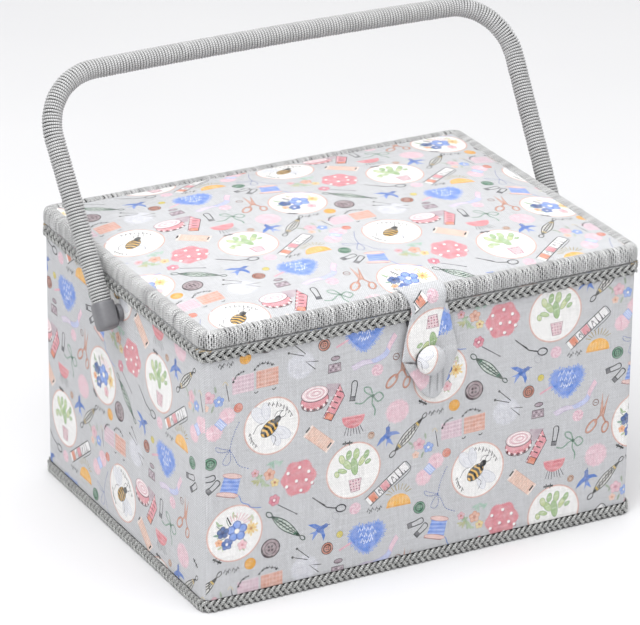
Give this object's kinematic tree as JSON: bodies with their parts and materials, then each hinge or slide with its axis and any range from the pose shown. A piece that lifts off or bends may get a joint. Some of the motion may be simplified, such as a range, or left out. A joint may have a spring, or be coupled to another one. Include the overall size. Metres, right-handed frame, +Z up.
{
  "type": "sewing box",
  "caption": "Cloth-covered sewing box with a padded hinged lid, a loop-and-button closure, a swinging wound handle and lift-out trays.",
  "frame": {"origin": "centre of the underside of the box, on the surface it stands on", "axes": "+Z up, -Y towards the front with the button, X along the width; the lid's hinges are at +Y"},
  "size_m": [0.356, 0.2567, 0.3023],
  "materials": {
    "board": "matt, cloth-wrapped",
    "print_cloth": "matt canvas weave, printed with sewing motifs",
    "lining_cloth": "soft satin-weave cotton",
    "lining_board": "board wrapped in lining cloth",
    "base_felt": "matt felt",
    "braid": "tight twisted-paper cord, matt",
    "winding": "tightly wound twisted-paper cord, matt",
    "cane": "satin",
    "foam": "matt",
    "pocket_cloth": "matt gathered cotton",
    "cushion_cloth": "matt cotton with spots",
    "steel": "satin",
    "plated_steel": "nickel plated, satin",
    "grey_plastic": "satin",
    "tray_plastic": "milky, semi-gloss"
  },
  "bodies": {
    "box": {"front_board": "board", "back_board": "board", "left_board": "board", "right_board": "board", "base_board": "board", "body_cover": "print_cloth", "side_lining": "lining_cloth", "base_lining": "lining_cloth", "base_cloth": "base_felt", "bottom_trim": "braid", "top_trim": "braid", "front_ledge": "lining_board", "back_ledge": "lining_board", "button_head": "print_cloth", "button_post": "steel", "button_washer": "steel", "pivot_screw_left": "steel", "pivot_screw_right": "steel", "pivot_plate_left": "steel", "pivot_plate_right": "steel", "pivot_spacer_left": "grey_plastic", "pivot_spacer_right": "grey_plastic", "hinge_box_leaf_left": "plated_steel", "hinge_box_leaf_right": "plated_steel", "hinge_pin_left": "plated_steel", "hinge_pin_right": "plated_steel"},
    "lid": {"lid_rim": "braid", "lid_lining": "lining_cloth", "lid_board": "board", "lid_pad": "foam", "lid_cover": "print_cloth", "lid_pocket": "pocket_cloth", "lid_pincushion": "cushion_cloth", "hinge_lid_leaf_left": "plated_steel", "hinge_lid_leaf_right": "plated_steel"},
    "loop": {"closure_loop": "print_cloth"},
    "handle": {"handle_winding": "winding", "handle_core": "cane", "end_cap_left": "grey_plastic", "end_cap_right": "grey_plastic"},
    "tray_left": {"tray_left": "tray_plastic"},
    "tray_right": {"tray_right": "tray_plastic"}
  },
  "joints": [
    {"name": "lid_hinge", "type": "hinge", "parent": "box", "child": "lid", "pos_m": [0, 0.1232, 0.1822], "axis": [-1, 0, 0], "range_deg": [0, 55]},
    {"name": "loop_lift", "type": "hinge", "parent": "lid", "child": "loop", "pos_m": [0, -0.1213, 0.1907], "axis": [-1, 0, 0], "range_deg": [0, 110], "deforming": ["closure_loop"]},
    {"name": "handle_swing", "type": "hinge", "parent": "box", "child": "handle", "pos_m": [0, 0, 0.1623], "axis": [-1, 0, 0], "range_deg": [-157, 88]},
    {"name": "tray_left_lift", "type": "slide", "parent": "box", "child": "tray_left", "axis": [0, 0, 1], "range_m": [0, 0.011]},
    {"name": "tray_right_lift", "type": "slide", "parent": "box", "child": "tray_right", "axis": [0, 0, 1], "range_m": [0, 0.011]}
  ]
}
